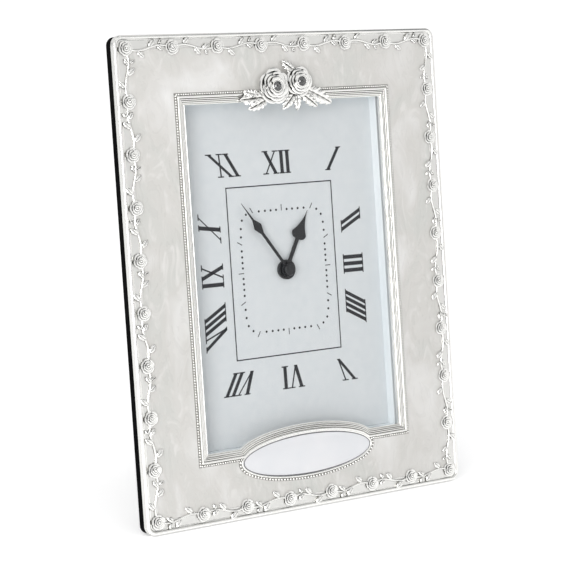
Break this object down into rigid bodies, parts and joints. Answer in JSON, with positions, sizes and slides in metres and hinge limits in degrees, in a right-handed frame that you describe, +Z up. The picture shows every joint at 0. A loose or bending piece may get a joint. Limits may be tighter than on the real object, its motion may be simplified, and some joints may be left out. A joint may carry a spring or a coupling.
{
  "type": "photo frame clock",
  "caption": "Leaning photo-frame desk clock: rose-vine border, stepped inner moulding, oval plaque, glazed recessed dial with two hands, and a hinged strut at the back.",
  "frame": {"origin": "under the middle of the bounding box, on the surface the clock stands on, with the strut open", "axes": "+X to the right as seen from the front, +Y towards the back, +Z up; the frame leans back 8 degrees"},
  "size_m": [0.156, 0.0888, 0.1955],
  "materials": {
    "silver": "polished silver plate",
    "crystal": "cut and polished",
    "enamel": "glossy pearl enamel",
    "plaque": "glossy pale lilac enamel",
    "glass": "clear sheet",
    "well_plastic": "pale grey moulded",
    "dial_card": "printed card",
    "black_velvet": "black velvet over board",
    "steel": "plated",
    "brass": "turned",
    "gear_plastic": "natural acetal",
    "knob_plastic": "moulded",
    "magnet": "sintered magnet with moulded pinion",
    "movement_plastic": "moulded",
    "core_steel": "soft iron sheet",
    "bobbin_plastic": "moulded",
    "copper_wire": "enamelled copper wire",
    "board_green": "circuit laminate",
    "chip_black": "potting resin",
    "battery_sleeve": "steel cell in a printed sleeve, mass set by its volume",
    "contact_metal": "spring steel, plated",
    "hand_black": "matt black"
  },
  "bodies": {
    "frame": {"frame_shell": "silver", "enamel_inlay": "enamel", "bezel_moulding": "silver", "bead_row": "silver", "oval_plaque": "plaque", "rose_vine_border": "silver", "rose_spray": "silver", "spray_crystals": "crystal", "front_glass": "glass", "dial_well": "well_plastic", "dial_card": "dial_card", "base_board": "black_velvet", "rear_box": "black_velvet", "back_panel": "black_velvet", "turn_button_screws": "steel", "hinge_leaf_fixed": "steel", "hinge_pin": "steel", "panel_rivets": "steel", "movement_case": "movement_plastic", "movement_cover": "movement_plastic", "movement_screws": "steel", "stator_plate": "core_steel", "coil_core": "core_steel", "coil_bobbin": "bobbin_plastic", "coil_winding": "copper_wire", "circuit_board": "board_green", "crystal_can": "steel", "driver_chip": "chip_black", "battery": "battery_sleeve", "contact_positive": "contact_metal", "contact_negative": "contact_metal"},
    "minute_work": {"minute_arbor": "brass", "minute_hand": "hand_black", "hand_cap": "hand_black"},
    "hour_work": {"hour_wheel": "gear_plastic", "hour_hand": "hand_black"},
    "motion_work": {"motion_wheel": "gear_plastic"},
    "setting_work": {"setting_stem": "gear_plastic", "setting_knob": "knob_plastic"},
    "centre_work": {"centre_wheel": "gear_plastic"},
    "third_work": {"third_wheel": "gear_plastic"},
    "second_work": {"second_wheel": "gear_plastic"},
    "intermediate_work": {"intermediate_wheel": "gear_plastic"},
    "rotor_work": {"rotor": "magnet"},
    "strut": {"strut_leg": "black_velvet", "hinge_leaf_moving": "steel", "leg_rivets": "steel"},
    "button_upper_left": {"turn_button_upper_left": "steel"},
    "button_lower_left": {"turn_button_lower_left": "steel"},
    "button_upper_right": {"turn_button_upper_right": "steel"},
    "button_lower_right": {"turn_button_lower_right": "steel"}
  },
  "joints": [
    {"name": "minute_spin", "type": "hinge", "parent": "frame", "child": "minute_work", "pos_m": [0, -0.02146, 0.09738], "axis": [0, 0.9903, -0.1392], "continuous": true},
    {"name": "hour_spin", "type": "hinge", "parent": "frame", "child": "hour_work", "pos_m": [0, -0.02146, 0.09738], "axis": [0, 0.9903, -0.1392], "continuous": true},
    {"name": "motion_spin", "type": "hinge", "parent": "frame", "child": "motion_work", "pos_m": [-0.00495, -0.01543, 0.10153], "axis": [0, 0.9903, -0.1392], "continuous": true},
    {"name": "setting_spin", "type": "hinge", "parent": "frame", "child": "setting_work", "pos_m": [-0.01015, -0.0147, 0.10668], "axis": [0, 0.9903, -0.1392], "continuous": true},
    {"name": "rotor_spin", "type": "hinge", "parent": "frame", "child": "rotor_work", "pos_m": [0.01709, -0.00885, 0.09663], "axis": [0, 0.9903, -0.1392], "continuous": true},
    {"name": "intermediate_spin", "type": "hinge", "parent": "frame", "child": "intermediate_work", "pos_m": [0.00965, -0.00922, 0.09394], "axis": [0, 0.9903, -0.1392], "continuous": true},
    {"name": "second_spin", "type": "hinge", "parent": "frame", "child": "second_work", "pos_m": [0, -0.02146, 0.09738], "axis": [0, 0.9903, -0.1392], "continuous": true},
    {"name": "third_spin", "type": "hinge", "parent": "frame", "child": "third_work", "pos_m": [0.0054, -0.01125, 0.10539], "axis": [0, 0.9903, -0.1392], "continuous": true},
    {"name": "centre_spin", "type": "hinge", "parent": "frame", "child": "centre_work", "pos_m": [0, -0.02146, 0.09738], "axis": [0, 0.9903, -0.1392], "continuous": true},
    {"name": "strut_hinge", "type": "hinge", "parent": "frame", "child": "strut", "pos_m": [0, 0.00692, 0.14126], "axis": [1, 0, 0], "range_deg": [-22, 0]},
    {"name": "button_upper_left_turn", "type": "hinge", "parent": "frame", "child": "button_upper_left", "pos_m": [-0.0595, 0.00482, 0.13853], "axis": [0, 0.9903, -0.1392], "range_deg": [-90, 0]},
    {"name": "button_lower_left_turn", "type": "hinge", "parent": "frame", "child": "button_lower_left", "pos_m": [-0.0595, -0.00771, 0.0494], "axis": [0, 0.9903, -0.1392], "range_deg": [0, 90]},
    {"name": "button_upper_right_turn", "type": "hinge", "parent": "frame", "child": "button_upper_right", "pos_m": [0.0595, 0.00482, 0.13853], "axis": [0, 0.9903, -0.1392], "range_deg": [0, 90]},
    {"name": "button_lower_right_turn", "type": "hinge", "parent": "frame", "child": "button_lower_right", "pos_m": [0.0595, -0.00771, 0.0494], "axis": [0, 0.9903, -0.1392], "range_deg": [-90, 0]}
  ],
  "couplings": [
    {"joint": "hour_spin", "follows": "minute_spin", "ratio": 0.083333},
    {"joint": "motion_spin", "follows": "minute_spin", "ratio": -0.33333},
    {"joint": "setting_spin", "follows": "minute_spin", "ratio": 0.83333},
    {"joint": "intermediate_spin", "follows": "rotor_spin", "ratio": -0.2},
    {"joint": "second_spin", "follows": "rotor_spin", "ratio": 0.033333},
    {"joint": "third_spin", "follows": "rotor_spin", "ratio": -0.0044444},
    {"joint": "centre_spin", "follows": "rotor_spin", "ratio": 0.00055556}
  ]
}
